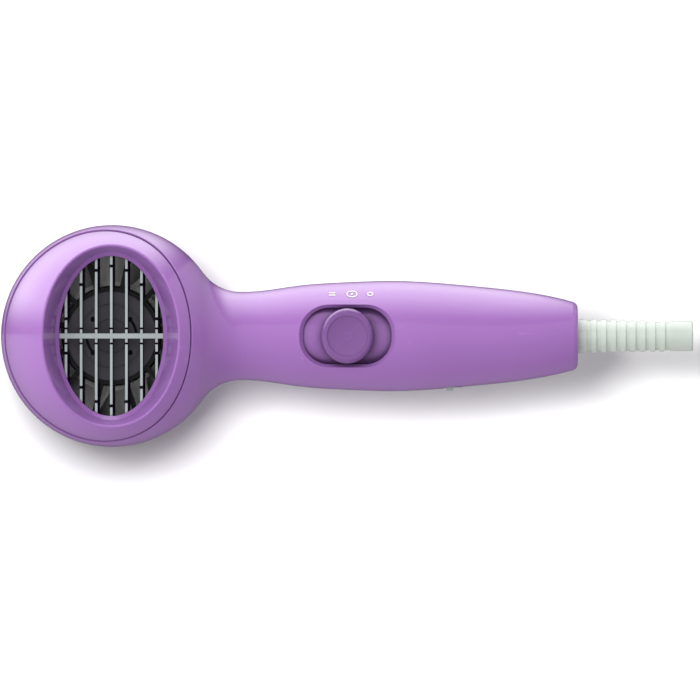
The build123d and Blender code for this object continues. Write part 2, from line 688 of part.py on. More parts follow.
# ---------------------------------------------------------------- motor and its support
def motor_support():
    """Outer ring, twelve straight vanes and the cup that grips the motor."""
    body = ring(*SUPPORT_RING, AXIS_Z + SUPPORT_LOW, SUPPORT_TOP_Z)
    body += ring(HUB_RADIUS, CAN_RADIUS, HUB_LOW_Z, SUPPORT_TOP_Z)
    for turn in around(VANE_COUNT, VANE_ANGLE):
        body += turn * spoke(VANE_WIDTH, HUB_RADIUS - VANE_ROOT, SUPPORT_RING[1] + VANE_ROOT,
                             VANE_FOOT_Z, SUPPORT_TOP_Z)
    body -= disc(HUB_PLATE_RADIUS + FIT, SUPPORT_TOP_Z - HUB_PLATE_SEAT, SUPPORT_TOP_Z + PAST)
    for angle in LEAD_ANGLES:
        start, end = MOTOR_LEAD_RADII
        tunnel = rod(LEAD_RADIUS + LEAD_GAP, start - PAST, end, z=MOTOR_LEAD_Z)
        body -= Rot(0, 0, angle) * tunnel
    return body


def hub_plate():
    """Stepped cover over the motor's brush end, with four round vents and two arc slots."""
    top = SUPPORT_TOP_Z - HUB_PLATE_DEPTH
    body = disc(HUB_PLATE_RADIUS, top - HUB_PLATE_SHEET, top)
    for outer, inner, depth in HUB_GROOVES:
        body -= ring(outer, inner, top - depth, top + PAST)
    for side in (0, 180):
        for angle in either_side(HUB_VENT_ANGLE, side):
            vent = disc(HUB_VENT_RADIUS, top - 2 * HUB_PLATE_SHEET, top + PAST, HUB_VENT_CIRCLE)
            body -= Rot(0, 0, angle) * vent
        arc = Pos(0, 0, top) * CenterArc((0, 0, 0), HUB_VENT_CIRCLE, side + HUB_SLOT_START, HUB_SLOT_ARC)
        across = Plane(origin=arc @ 0, z_dir=arc % 0) * Rectangle(HUB_VENT_RADIUS, 4 * HUB_PLATE_SHEET)
        body -= sweep(across, path=arc)
    return body


def motor_can():
    boss_radius, boss_height = CAN_BOSS
    vent_radius, vent_circle = CAN_VENT
    body = disc(CAN_RADIUS, CAN_LOW, CAN_HIGH)
    body -= disc(CAN_RADIUS - CAN_SHEET, CAN_LOW + CAN_SHEET, CAN_HIGH + PAST)
    body += disc(boss_radius, CAN_LOW - boss_height, CAN_LOW)
    for turn in around(4):
        body -= turn * disc(vent_radius, CAN_LOW - PAST, CAN_LOW + 2 * CAN_SHEET, vent_circle)
    body -= disc(BUSH_RADIUS, BUSH_LOW[0], BUSH_LOW[1] + PAST)
    return body - disc(SHAFT_HOLE, CAN_LOW - boss_height - PAST, CAN_LOW)


def motor_end_cap():
    inner = CAN_RADIUS - CAN_SHEET - FIT
    low, high = CAN_HIGH - END_CAP_SKIRT, CAN_HIGH + END_CAP_HEIGHT
    body = disc(inner, low, CAN_HIGH) + disc(END_CAP_RADIUS, CAN_HIGH, high)
    body -= disc(END_CAP_BORE, low - PAST, SPRING_Z[1])
    for angle in LEAD_ANGLES:
        start, end = TERMINAL_RADII
        pocket = spoke(TERMINAL_WIDTH + TERMINAL_POCKET, start - TERMINAL_POCKET, end + TERMINAL_POCKET,
                       *either_side(LEAD_RADIUS + TERMINAL_POCKET, MOTOR_LEAD_Z))
        body -= Rot(0, 0, angle) * pocket
    return body - disc(BUSH_RADIUS, CAN_HIGH, high + PAST)


def motor_terminals():
    tab = spoke(TERMINAL_WIDTH, *TERMINAL_RADII, *either_side(TERMINAL_HALF_SHEET, MOTOR_LEAD_Z))
    return Compound(children=[Rot(0, 0, angle) * tab for angle in LEAD_ANGLES])


def motor_bushes():
    bore = SHAFT_RADIUS + BUSH_CLEARANCE
    return Compound(children=[ring(BUSH_RADIUS, bore, *place) for place in (BUSH_LOW, BUSH_HIGH)])


def motor_magnets():
    shell = ring(CAN_RADIUS - CAN_SHEET - FIT, MAGNET_INNER, *MAGNET_Z)
    gap = block(either_side(MAGNET_GAP / 2), EVERYWHERE, MAGNET_Z)
    return Compound(children=list((shell - gap).solids()))


def armature_core():
    """Three-pole stack of laminations with round winding slots."""
    low, high = CORE_Z
    slot_radius, slot_circle = CORE_SLOT
    core = ring(CORE_RADIUS, SHAFT_RADIUS, low, high)
    for turn in around(3, 30):
        core -= turn * spoke(CORE_MOUTH, slot_circle, CORE_RADIUS + PAST, low, high)
        core -= turn * disc(slot_radius, low, high, slot_circle)
    return core


def armature_windings():
    """Copper packs in the slots, joined by the end turns."""
    low, high = CORE_Z
    slot_radius, slot_circle = CORE_SLOT
    body = ring(*WINDING_RADII, high, high + WINDING_END) + ring(*WINDING_RADII, low - WINDING_END, low)
    for turn in around(3, 30):
        body += turn * disc(slot_radius - WINDING_SLOT_GAP, low, high, slot_circle)
    return body


def commutator():
    low, high = COMMUTATOR_Z
    width, depth = COMMUTATOR_SLOT
    body = ring(COMMUTATOR_RADIUS, SHAFT_RADIUS, low, high)
    for turn in around(3):
        body -= turn * spoke(width, COMMUTATOR_RADIUS - depth, COMMUTATOR_RADIUS + PAST,
                             low + COMMUTATOR_FOOT, high + PAST)
    return body


def motor_brushes():
    carbon = block(BRUSH_X, either_side(BRUSH_HALF), BRUSH_Z)
    return Compound(children=[carbon, Rot(0, 0, 180) * carbon])


def brush_springs():
    """Flat leaves that press the brushes to the commutator."""
    leaf = block(SPRING_X, (-BRUSH_HALF, SPRING_REACH), SPRING_Z)
    return Compound(children=[leaf, Rot(0, 0, 180) * leaf])


def motor_shaft():
    return disc(SHAFT_RADIUS, *SHAFT_Z)


# ---------------------------------------------------------------- fan and duct
def blade_section():
    """A cambered strip, seen along the blade from the hub to the tip."""
    (start_y, start_z), (end_y, end_z) = BLADE_START, BLADE_END
    top = ((start_y + end_y) / 2 - BLADE_CAMBER / 2, (start_z + end_z) / 2 + BLADE_CAMBER)
    with BuildSketch(Plane.YZ) as section:
        with BuildLine():
            upper = ThreePointArc(BLADE_START, top, BLADE_END)
            lower = ThreePointArc((start_y, start_z - BLADE_SHEET), (top[0], top[1] - BLADE_SHEET),
                                  (end_y, end_z - BLADE_SHEET))
            Line(upper @ 0, lower @ 0)
            Line(upper @ 1, lower @ 1)
        make_face()
    return section.sketch


def impeller():
    """Cup-shaped fan round the motor, with cambered blades that overlap when seen along the air axis."""
    outer, inner = IMPELLER_CUP
    low, high = IMPELLER_Z
    boss_radius, boss_low = IMPELLER_BOSS
    body = disc(outer, low, high) - disc(inner, low + IMPELLER_FLOOR, high + PAST)
    body += disc(boss_radius, boss_low, low)
    body = fillet(body.edges().filter_by(GeomType.CIRCLE).sort_by(Axis.Z)[2], IMPELLER_ROUND)
    annulus = ring(BLADE_RADIUS, (outer + inner) / 2, low, BLADE_END[1] + PAST)
    blade = (extrude(blade_section(), BLADE_RADIUS) & annulus).solids().sort_by(Axis.X)[-1]
    for turn in around(BLADE_COUNT):
        body += turn * blade
    return body - disc(SHAFT_RADIUS, boss_low - PAST, low + IMPELLER_FLOOR)


def fan_duct():
    """Guides the air past the impeller and narrows to the heater tube."""
    outer = DUCT_RADIUS + DUCT_WALL
    height = DUCT_NECK_Z - DUCT_FOOT_Z
    funnel = Cone(OUTLET_BORE + DUCT_WALL, outer, height) - Cone(OUTLET_BORE, DUCT_RADIUS, height)
    body = ring(outer, DUCT_RADIUS, DUCT_NECK_Z, AXIS_Z + SUPPORT_LOW)
    body += Pos(0, 0, (DUCT_NECK_Z + DUCT_FOOT_Z) / 2) * funnel
    slot_width, slot_top = DUCT_LEAD_SLOT
    slot = block((0, HEAD_RADIUS), either_side(slot_width / 2), (DUCT_FOOT_Z - PAST, slot_top))
    return body - slot


# ---------------------------------------------------------------- heater and outlet
COIL_HEIGHTS = [COIL_LOW + k * COIL_PITCH for k in range(COIL_TURNS)]


def mica_tube():
    outer = OUTLET_BORE - 2 * FIT
    return ring(outer, outer - MICA_TUBE_SHEET, OUTLET_GRILLE_Z[1], DUCT_FOOT_Z - FIT)


def mica_board(angle, slot):
    """One of two crossed boards that hold the heating coil in edge notches."""
    half = MICA_SHEET / 2
    body = block(either_side(MICA_HALF), either_side(half), MICA_Z)
    body -= block(either_side(half + FIT), either_side(PAST), slot)
    room = COIL_WIRE + COIL_NOTCH
    for z in COIL_HEIGHTS:
        for notch in ((COIL_RADIUS - room, FAR), (-FAR, room - COIL_RADIUS)):
            body -= block(notch, either_side(PAST), either_side(room, z))
    return Rot(0, 0, angle) * body


def mica_board_long():
    return mica_board(0, ((MICA_Z[0] + MICA_Z[1]) / 2, MICA_Z[1] + PAST))


def mica_board_cross():
    return mica_board(90, (MICA_Z[0] - PAST, (MICA_Z[0] + MICA_Z[1]) / 2))


def heater_coil():
    """The turns of heating coil, each a ring on the mica cross."""
    return Compound(children=[Pos(0, 0, z) * Torus(COIL_RADIUS, COIL_WIRE) for z in COIL_HEIGHTS])


def thermostat():
    return block(THERMOSTAT_X, (MICA_SHEET / 2, MICA_SHEET / 2 + THERMOSTAT_DEPTH), THERMOSTAT_Z)


def thermal_fuse():
    return disc(*FUSE_BODY, *FUSE_PLACE) + disc(*FUSE_WIRE, *FUSE_PLACE)


def outlet_ring():
    """Collar that attachments push on to, a flange under the barrel and a spigot inside it."""
    flange = ring(barrel_radius(BARREL_END_Z) - FIT, OUTLET_BORE, COLLAR_LENGTH, BARREL_END_Z)
    spigot = ring(barrel_radius(BARREL_END_Z, WALL) - 2 * FIT, OUTLET_BORE,
                  BARREL_END_Z, BARREL_END_Z + SPIGOT_LENGTH)
    collar = ring(COLLAR_RADIUS, OUTLET_BORE, 0, COLLAR_LENGTH)
    collar = fillet(collar.edges().filter_by(GeomType.CIRCLE).group_by(Axis.Z)[0], COLLAR_ROUND)
    return collar + flange + spigot


def outlet_grille():
    low, high = OUTLET_GRILLE_Z
    rim = OUTLET_BORE - FIT
    body = ring(rim, rim - OUTLET_RIM_WIDTH, low, high) + disc(OUTLET_HUB, low, high)
    for radius in OUTLET_RING_RADII:
        body += ring(radius + OUTLET_RING_WIDTH / 2, radius - OUTLET_RING_WIDTH / 2, low, high)
    for turn in around(OUTLET_SPOKES, 180 / OUTLET_SPOKES):
        body += turn * spoke(OUTLET_RING_WIDTH, OUTLET_HUB - PAST, rim - OUTLET_RIM_WIDTH / 2,
                             low + OUTLET_SPOKE_INSET, high - OUTLET_SPOKE_INSET)
    return body


# ---------------------------------------------------------------- switch in the handle
def slide_knob():
    """Oval ring of a knob, on a stem that goes through the recess floor."""
    low, high = SLIDER_Z[1], KNOB_TOP
    body = Pos(SWITCH_X, 0, AXIS_Z + low) * extrude(Ellipse(*KNOB_HALF), high - low)
    body -= rod(SWITCH_FLOOR_RADIUS + KNOB_LIFT, *HANDLE_ENDS)
    body = fillet(body.edges().group_by(Axis.Z)[-1], KNOB_ROUND)
    body -= disc(INSET_RADIUS + FIT, AXIS_Z + high - INSET_DEPTH, AXIS_Z + high + PAST, SWITCH_X)
    return body + switch_block(STEM_SIDE / 2, STEM_SIDE / 2, (low, high - INSET_DEPTH - FIT))


def knob_inset():
    """The dished finger pad in the knob."""
    low, high = above_axis((KNOB_TOP - INSET_DEPTH, KNOB_TOP - INSET_SINK))
    dish = Pos(SWITCH_X, 0, high + INSET_DISH_RADIUS - INSET_DISH_DEPTH) * Sphere(INSET_DISH_RADIUS)
    return disc(INSET_RADIUS, low, high, SWITCH_X) - dish


def switch_slider():
    """Carriage under the recess floor: it hides the slot at every position and works the contacts."""
    foot = switch_block(*SLIDER_FOOT_HALF, (SLIDER_FOOT_Z, SLIDER_Z[0]))
    return switch_block(*SLIDER_HALF, SLIDER_Z) + foot


def switch_contact():
    return switch_block(*CONTACT_HALF, (SLIDER_FOOT_Z - CONTACT_SHEET, SLIDER_FOOT_Z))


def switch_body():
    reach = SWITCH_TRAVEL + CONTACT_HALF[0] + CONTACT_SHEET
    body = switch_block(*SWITCH_HALF, SWITCH_BODY_Z)
    body += switch_block(SWITCH_TAB_END, SWITCH_TAB_HALF_WIDTH, SWITCH_TAB_Z)
    body -= switch_block(reach, SWITCH_WELL_HALF_WIDTH, (SWITCH_WELL_Z, SWITCH_BODY_Z[1] + PAST))
    for x in SWITCH_TABS:
        body -= disc(SMALL_SCREW, AXIS_Z, AXIS_Z + SWITCH_SCREW_TOP, x)
    return body


def switch_terminals():
    half_x, half_y = SWITCH_TERMINAL_HALF
    top = SWITCH_BODY_Z[0]
    blade = switch_block(half_x, half_y, (top - SWITCH_TERMINAL_LENGTH, top))
    return Compound(children=[Pos(x) * blade for x in SWITCH_TERMINAL_X])


def switch_screws():
    seat, tip = above_axis((SWITCH_TAB_Z[0], SWITCH_SCREW_TOP))
    return Compound(children=[screw(x, 0, seat, tip, SMALL_SCREW, SWITCH_SCREW_HEAD) for x in SWITCH_TABS])


def housing_screws():
    seat, tip = above_axis((-SCREW_SEAT, SCREW_TOP))
    return Compound(children=[screw(x, 0, seat, tip, SCREW_RADIUS, SCREW_HEAD) for x in SCREW_PLACES])


# ---------------------------------------------------------------- position marks
def oval_line(half):
    return Ellipse(*half) - Ellipse(half[0] - MARK_STROKE, half[1] - MARK_STROKE)


def position_marks():
    """Thin printed marks beside the switch: two bars for high, a fan for low and a ring for off."""
    high, low, off = [Pos(SWITCH_X + x, MARK_Y) for x in MARK_PLACES]
    bar = Rectangle(MARK_BAR, MARK_STROKE)
    marks = [high * Pos(0, y) * bar for y in either_side(MARK_BAR_SHIFT)]
    marks += [low * oval_line(MARK_FAN_HALF), low * Circle(MARK_FAN_DOT), off * oval_line(MARK_OFF_HALF)]
    film = head_and_handle(-MARK_FILM) - head_and_handle(0)
    pieces = [extrude(Pos(0, 0, AXIS_Z) * mark, HEAD_RADIUS) & film for mark in marks]
    return Compound(children=[solid for piece in pieces for solid in piece.solids()])


# ---------------------------------------------------------------- voltage selector
def pointer_block(near, far):
    half_x, half_z = SELECTOR_POINTER_HALF
    return block(either_side(half_x, SELECTOR_X + SELECTOR_POINTER_SHIFT), (-far, -near),
                 either_side(half_z, AXIS_Z))


def selector_knob():
    """Disc that turns flush in the handle's side, on a short stem."""
    radius, near, far = SELECTOR_DISC
    stem_radius, stem_near = SELECTOR_STEM
    body = cross_rod(radius, near, far) + cross_rod(stem_radius, stem_near, near)
    return body - pointer_block(SELECTOR_POINTER_Y[0], far + PAST)


def selector_pointer():
    """Raised bar let into the disc, for a fingernail or a coin."""
    return pointer_block(*SELECTOR_POINTER_Y)


def selector_body():
    half_x, half_z = SELECTOR_BODY_HALF
    near, far = SELECTOR_BODY_Y
    body = block(either_side(half_x, SELECTOR_X), (-far, -near), either_side(half_z, AXIS_Z))
    return body - cross_rod(SELECTOR_BORE, SELECTOR_STEM[1] - 4 * FIT, far + PAST)


def selector_terminals():
    half_x, half_z = SELECTOR_TERMINAL_HALF
    blades = [block(either_side(half_x, SELECTOR_X + x), (-SELECTOR_BODY_Y[0], -SELECTOR_TERMINAL_Y),
                    either_side(half_z, AXIS_Z)) for x in either_side(SELECTOR_TERMINAL_X)]
    return Compound(children=blades)


# ---------------------------------------------------------------- rectifier board
BOARD_TOP = BOARD_LOW + BOARD_SHEET


def rectifier_board():
    return block(BOARD_X, BOARD_Y, above_axis((BOARD_LOW, BOARD_TOP)))


def rectifier_diodes():
    seat = AXIS_Z + BOARD_TOP + DIODE_RADIUS
    return Compound(children=[rod(DIODE_RADIUS, *DIODE_X, y, seat) for y in DIODE_Y])


def filter_capacitor():
    return block(CAPACITOR_X, either_side(CAPACITOR_HALF_WIDTH),
                 above_axis((BOARD_TOP, BOARD_TOP + CAPACITOR_HEIGHT)))


# ---------------------------------------------------------------- cord entry
def relief_radius(distance):
    root, end = RELIEF_RADII
    return root + (end - root) * distance / RELIEF_LENGTH


def strain_relief():
    """Ribbed flexible sleeve, gripped by its neck in the handle's end wall."""
    start, end = HANDLE_END_X, HANDLE_END_X + RELIEF_LENGTH
    root_radius, end_radius = [radius - RELIEF_GROOVE for radius in RELIEF_RADII]
    body = Pos((start + end) / 2, 0, AXIS_Z) * Rot(0, 90, 0) * Cone(root_radius, end_radius, RELIEF_LENGTH)
    body += rod(RELIEF_RADII[0], start, start + RELIEF_COLLAR)
    for k in range(RELIEF_RIBS):
        centre = RELIEF_FIRST_RIB + k * RELIEF_RIB_PITCH
        body += rod(relief_radius(centre), *either_side(RELIEF_RIB_WIDTH / 2, start + centre))
    sleeve = rod(RELIEF_RADII[1], end - RELIEF_SLEEVE, end)
    body += fillet(sleeve.edges().sort_by(Axis.X)[-1], RELIEF_SLEEVE_ROUND)
    flange_radius, flange_sheet = RELIEF_FLANGE
    body += rod(RELIEF_RADII[0] - RELIEF_NECK_DEPTH, start - WALL, start)
    body += rod(flange_radius, start - WALL - flange_sheet, start - WALL)
    return body - rod(CORD_RADIUS, start - WALL - flange_sheet - PAST, end + PAST)


def cord_clamp():
    half_x, half_y = CLAMP_HALF
    place, tooth_half, tooth_depth = CLAMP_TOOTH
    body = block(either_side(half_x, CLAMP_X), either_side(half_y),
                 above_axis((CLAMP_LOW, CLAMP_LOW + CLAMP_SHEET)))
    for x in either_side(place, CLAMP_X):
        body += block(either_side(tooth_half, x), either_side(CORD_RADIUS),
                      above_axis((CLAMP_LOW - tooth_depth, CLAMP_LOW)))
    for y in either_side(CLAMP_SCREW_Y):
        body -= disc(SMALL_SCREW, AXIS_Z, AXIS_Z + CLAMP_LOW + CLAMP_SHEET + PAST, CLAMP_X, y)
    return body


def cord_clamp_screws():
    seat, tip = above_axis((CLAMP_LOW + CLAMP_SHEET, CLAMP_SCREW_TIP))
    return Compound(children=[screw(CLAMP_X, y, seat, tip, SMALL_SCREW, CLAMP_SCREW_HEAD)
                              for y in either_side(CLAMP_SCREW_Y)])


# ---------------------------------------------------------------- internal leads
def beside_axis(route, side):
    """Turns (x, distance to the side, height) into points on one side of the handle's axis."""
    return [(x, side * y, z) for x, y, z in route]


def motor_leads():
    """From the rectifier side of the handle, under two vanes, to the motor's terminals."""
    leads = []
    for angle, side in zip(LEAD_ANGLES, (1, -1)):
        turn = radians(angle)
        under_vane = [(radius * cos(turn), radius * sin(turn), MOTOR_LEAD_Z) for radius in MOTOR_LEAD_RADII]
        leads.append(lead(under_vane + beside_axis(MOTOR_LEAD_ROUTE, side), MOTOR_LEAD_BEND))
    return Compound(children=leads)


def heater_leads():
    """From the switch, down between the duct and the barrel, to the head of the heater."""
    routes = [beside_axis(HEATER_LEAD_ROUTE, side) for side in (-1, 1)]
    return Compound(children=[lead(route, HEATER_LEAD_BEND) for route in routes])


# ---------------------------------------------------------------- writing the parts
PARTS = (
    rear_housing, front_housing, intake_cap, intake_grille, intake_louvre,
    motor_support, hub_plate, motor_can, motor_end_cap, motor_terminals, motor_bushes, motor_magnets,
    armature_core, armature_windings, commutator, motor_brushes, brush_springs, motor_shaft, impeller,
    fan_duct, mica_tube, mica_board_long, mica_board_cross, heater_coil, thermostat, thermal_fuse,
    outlet_ring, outlet_grille,
    slide_knob, knob_inset, switch_slider, switch_contact, switch_body, switch_terminals, switch_screws,
    housing_screws, position_marks, selector_knob, selector_pointer, selector_body, selector_terminals,
    rectifier_board, rectifier_diodes, filter_capacitor,
    strain_relief, cord_clamp, cord_clamp_screws, motor_leads, heater_leads,
)


def main():
    os.makedirs("parts", exist_ok=True)
    for build in PARTS:
        export_step(build(), f"parts/{build.__name__}.step")


main()
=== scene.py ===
import json
import math

import bpy
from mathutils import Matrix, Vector


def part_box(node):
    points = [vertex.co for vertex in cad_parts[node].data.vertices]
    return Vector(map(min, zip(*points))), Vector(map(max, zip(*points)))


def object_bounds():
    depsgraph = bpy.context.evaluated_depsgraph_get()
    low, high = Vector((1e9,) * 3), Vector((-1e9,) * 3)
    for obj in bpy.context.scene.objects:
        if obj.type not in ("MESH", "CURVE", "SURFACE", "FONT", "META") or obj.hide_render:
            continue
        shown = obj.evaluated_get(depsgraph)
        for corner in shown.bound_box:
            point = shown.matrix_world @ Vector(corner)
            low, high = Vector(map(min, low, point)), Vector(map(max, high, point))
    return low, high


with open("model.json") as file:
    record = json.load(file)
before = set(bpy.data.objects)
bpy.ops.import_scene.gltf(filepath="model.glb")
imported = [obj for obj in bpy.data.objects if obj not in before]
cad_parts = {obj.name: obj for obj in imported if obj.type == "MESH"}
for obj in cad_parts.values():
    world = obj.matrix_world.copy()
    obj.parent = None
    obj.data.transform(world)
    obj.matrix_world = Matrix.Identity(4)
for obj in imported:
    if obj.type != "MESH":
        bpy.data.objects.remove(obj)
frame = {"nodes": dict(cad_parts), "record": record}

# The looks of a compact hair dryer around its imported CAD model. Metres, in the CAD's own frame: +Z runs
# from the outlet up to the intake grille and +X along the handle.

CAD_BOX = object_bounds()
NODES = frame["nodes"]

# ---------------------------------------------------------------- places read from the frame
HOUSING_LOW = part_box("rear_housing")[0]
AXIS_Z = HOUSING_LOW.z
HEAD_RADIUS = -HOUSING_LOW.x
END_X = CAD_BOX[1].x

# ---------------------------------------------------------------- camera
CAMERA_DISTANCE = 5.0  # far enough for almost no perspective
VIEW_WIDTH = HEAD_RADIUS * 6.306
VIEW_SHIFT = (HEAD_RADIUS * 2.144, -HEAD_RADIUS * 0.126)
SENSOR = 36.0


def add_camera():
    """Looks straight down the air axis from far away, with the handle to the right."""
    data = bpy.data.cameras.new("camera")
    data.sensor_width = SENSOR
    data.lens = SENSOR * CAMERA_DISTANCE / VIEW_WIDTH
    data.clip_end = 4 * CAMERA_DISTANCE
    camera = bpy.data.objects.new("camera", data)
    camera.location = (VIEW_SHIFT[0], VIEW_SHIFT[1], AXIS_Z + CAMERA_DISTANCE)
    bpy.context.collection.objects.link(camera)
    bpy.context.scene.camera = camera


add_camera()


# ---------------------------------------------------------------- light and floor
# The key lights the floor alone and the fill everything else, so that shadow and object are set apart.
FLOOR_HALF = 3.0
FLOOR_WHITE = 0.74
FLOOR_ROUGHNESS = 0.9
LAMP_AIM_SHARE = 0.35  # of the object's reach along the handle
KEY_HEIGHT = 1.1
KEY_OFFSET = (-0.11, 0.085)
KEY_SIDE = 0.20
KEY_POWER = 17.0
FILL_HEIGHT = 0.9
FILL_OFFSET = (-0.25, 0.10)
FILL_SIDE = 1.2
FILL_POWER = 5.6
SKY_LEVEL = 0.66
SKY_BELOW = 0.20  # as a share of the level
SKY_ABOVE = 0.55
SKY_LEAN = (-0.45, 0.58, 0.0)  # brighter towards the left and the far side
BAND_RADIUS = 0.7
BAND_AZIMUTH = (45.0, 179.0)
BAND_ELEVATION = (-80.0, 60.0)
BAND_FADE = (0.20, 0.45)
BAND_STRENGTH = 3.3
CARD_STEPS = (24, 12)


def add_world():
    """A light tent: brightest at the horizon, dimmer above and below it, and brighter on the far left."""
    world = bpy.data.worlds.new("studio")
    world.use_nodes = True
    tree = world.node_tree
    place = tree.nodes.new("ShaderNodeTexCoord")
    split = tree.nodes.new("ShaderNodeSeparateXYZ")
    tree.links.new(place.outputs["Generated"], split.inputs[0])
    height = tree.nodes.new("ShaderNodeFloatCurve")
    height.mapping.clip_min_x = -1.0
    curve = height.mapping.curves[0]
    curve.points[0].location = (-1.0, SKY_BELOW)
    curve.points[1].location = (1.0, SKY_ABOVE)
    curve.points.new(0.0, 1.0)
    height.mapping.update()
    tree.links.new(split.outputs["Z"], height.inputs["Value"])
    lean = tree.nodes.new("ShaderNodeVectorMath")
    lean.operation = "DOT_PRODUCT"
    lean.inputs[1].default_value = [SKY_LEVEL * share for share in SKY_LEAN]
    tree.links.new(place.outputs["Generated"], lean.inputs[0])
    level = tree.nodes.new("ShaderNodeMath")
    level.inputs[1].default_value = SKY_LEVEL
    tree.links.new(lean.outputs["Value"], level.inputs[0])
    total = tree.nodes.new("ShaderNodeMath")
    total.operation = "MULTIPLY"
    tree.links.new(level.outputs["Value"], total.inputs[0])
    tree.links.new(height.outputs["Value"], total.inputs[1])
    background = tree.nodes["Background"]
    background.inputs["Color"].default_value = (1.0, 1.0, 1.0, 1.0)
    tree.links.new(total.outputs["Value"], background.inputs["Strength"])
    world.cycles.sampling_method = "NONE"
    bpy.context.scene.world = world


def add_area(name, place, aim, side, power):
    """A square lamp that isn't seen in reflections."""
    data = bpy.data.lights.new(name, "AREA")
    data.size = side
    data.energy = power
    lamp = bpy.data.objects.new(name, data)
    lamp.location = place
    lamp.rotation_euler = (Vector(aim) - Vector(place)).to_track_quat("-Z", "Y").to_euler()
    lamp.visible_camera = False
    lamp.visible_glossy = False
    bpy.context.collection.objects.link(lamp)
    return lamp


def link_light(lamp, floor, state):
    """Lights the floor alone (INCLUDE), or everything except the floor (EXCLUDE)."""
    receivers = bpy.data.collections.new(lamp.name + "_receivers")
    receivers.objects.link(floor)
    receivers.collection_objects[0].light_linking.link_state = state
    lamp.light_linking.receiver_collection = receivers


def add_lamps(floor):
    """A small high key casts the shadow on the floor, and a broad fill lights the object."""
    middle = Vector((END_X * LAMP_AIM_SHARE, 0.0, AXIS_Z))
    key = add_area("key", (middle.x + KEY_OFFSET[0], KEY_OFFSET[1], KEY_HEIGHT), middle, KEY_SIDE, KEY_POWER)
    link_light(key, floor, "INCLUDE")
    fill = add_area("fill", (middle.x + FILL_OFFSET[0], FILL_OFFSET[1], FILL_HEIGHT), middle,
                    FILL_SIDE, FILL_POWER)
    link_light(fill, floor, "EXCLUDE")


def soft_emission(name, fade, strength):
    """Emission that fades out towards the edges of a card, by a share of its width and of its height."""
    material = bpy.data.materials.new(name)
    material.use_nodes = True
    tree = material.node_tree
    tree.nodes.clear()
    place = tree.nodes.new("ShaderNodeTexCoord")
    split = tree.nodes.new("ShaderNodeSeparateXYZ")
    tree.links.new(place.outputs["UV"], split.inputs[0])
    fades = []
    for axis, share in zip("XY", fade):
        edge = tree.nodes.new("ShaderNodeMath")
        edge.operation = "PINGPONG"
        edge.inputs[1].default_value = 0.5
        tree.links.new(split.outputs[axis], edge.inputs[0])
        ramp = tree.nodes.new("ShaderNodeMapRange")
        ramp.interpolation_type = "SMOOTHSTEP"
        ramp.inputs["From Max"].default_value = share
        tree.links.new(edge.outputs["Value"], ramp.inputs["Value"])
        fades.append(ramp)
    fades[0].inputs["To Max"].default_value = strength
    both = tree.nodes.new("ShaderNodeMath")
    both.operation = "MULTIPLY"
    tree.links.new(fades[0].outputs["Result"], both.inputs[0])
    tree.links.new(fades[1].outputs["Result"], both.inputs[1])
    glow = tree.nodes.new("ShaderNodeEmission")
    tree.links.new(both.outputs["Value"], glow.inputs["Strength"])
    output = tree.nodes.new("ShaderNodeOutputMaterial")
    tree.links.new(glow.outputs["Emission"], output.inputs["Surface"])
    material.cycles.emission_sampling = "NONE"
    return material


def add_card(name, place, fade, strength):
    """A soft-edged card seen in reflections alone. Its shape is place(u, v), with u and v from 0 to 1."""
    across, up = CARD_STEPS
    shares = [(column / across, row / up) for row in range(up + 1) for column in range(across + 1)]
    row_length = across + 1
    corners = [row * row_length + column for row in range(up) for column in range(across)]
    faces = [(at, at + 1, at + row_length + 1, at + row_length) for at in corners]
    mesh = bpy.data.meshes.new(name)
    mesh.from_pydata([place(u, v) for u, v in shares], [], faces)
    layer = mesh.uv_layers.new(name="card")
    for corner in mesh.loops:
        layer.data[corner.index].uv = shares[corner.vertex_index]
    mesh.materials.append(soft_emission(name, fade, strength))
    card = bpy.data.objects.new(name, mesh)
    for kind in ("camera", "diffuse", "transmission", "volume_scatter", "shadow"):
        setattr(card, "visible_" + kind, False)
    bpy.context.collection.objects.link(card)


def between(pair, share):
    """The value a share of the way from the first of a pair to the second."""
    return pair[0] + share * (pair[1] - pair[0])


def band_place(u, v):
    """On a ball round the head: a band along its far left side."""
    azimuth = math.radians(between(BAND_AZIMUTH, u))
    elevation = math.radians(between(BAND_ELEVATION, v))
    flat = BAND_RADIUS * math.cos(elevation)
    return flat * math.cos(azimuth), flat * math.sin(azimuth), AXIS_Z + BAND_RADIUS * math.sin(elevation)


def add_floor():
    """A plain pale sheet under the object, which reflections don't show."""
    mesh = bpy.data.meshes.new("floor")
    corners = [(x * FLOOR_HALF, y * FLOOR_HALF, 0.0) for x, y in ((-1, -1), (1, -1), (1, 1), (-1, 1))]
    mesh.from_pydata(corners, [], [(0, 1, 2, 3)])
    floor = bpy.data.objects.new("floor", mesh)
    floor.location.z = CAD_BOX[0].z
    floor.visible_glossy = False
    colour = (FLOOR_WHITE, FLOOR_WHITE, FLOOR_WHITE)
    mesh.materials.append(new_material("floor_paper", colour, FLOOR_ROUGHNESS, Specular_IOR_Level=0.0))
    bpy.context.collection.objects.link(floor)
    return floor


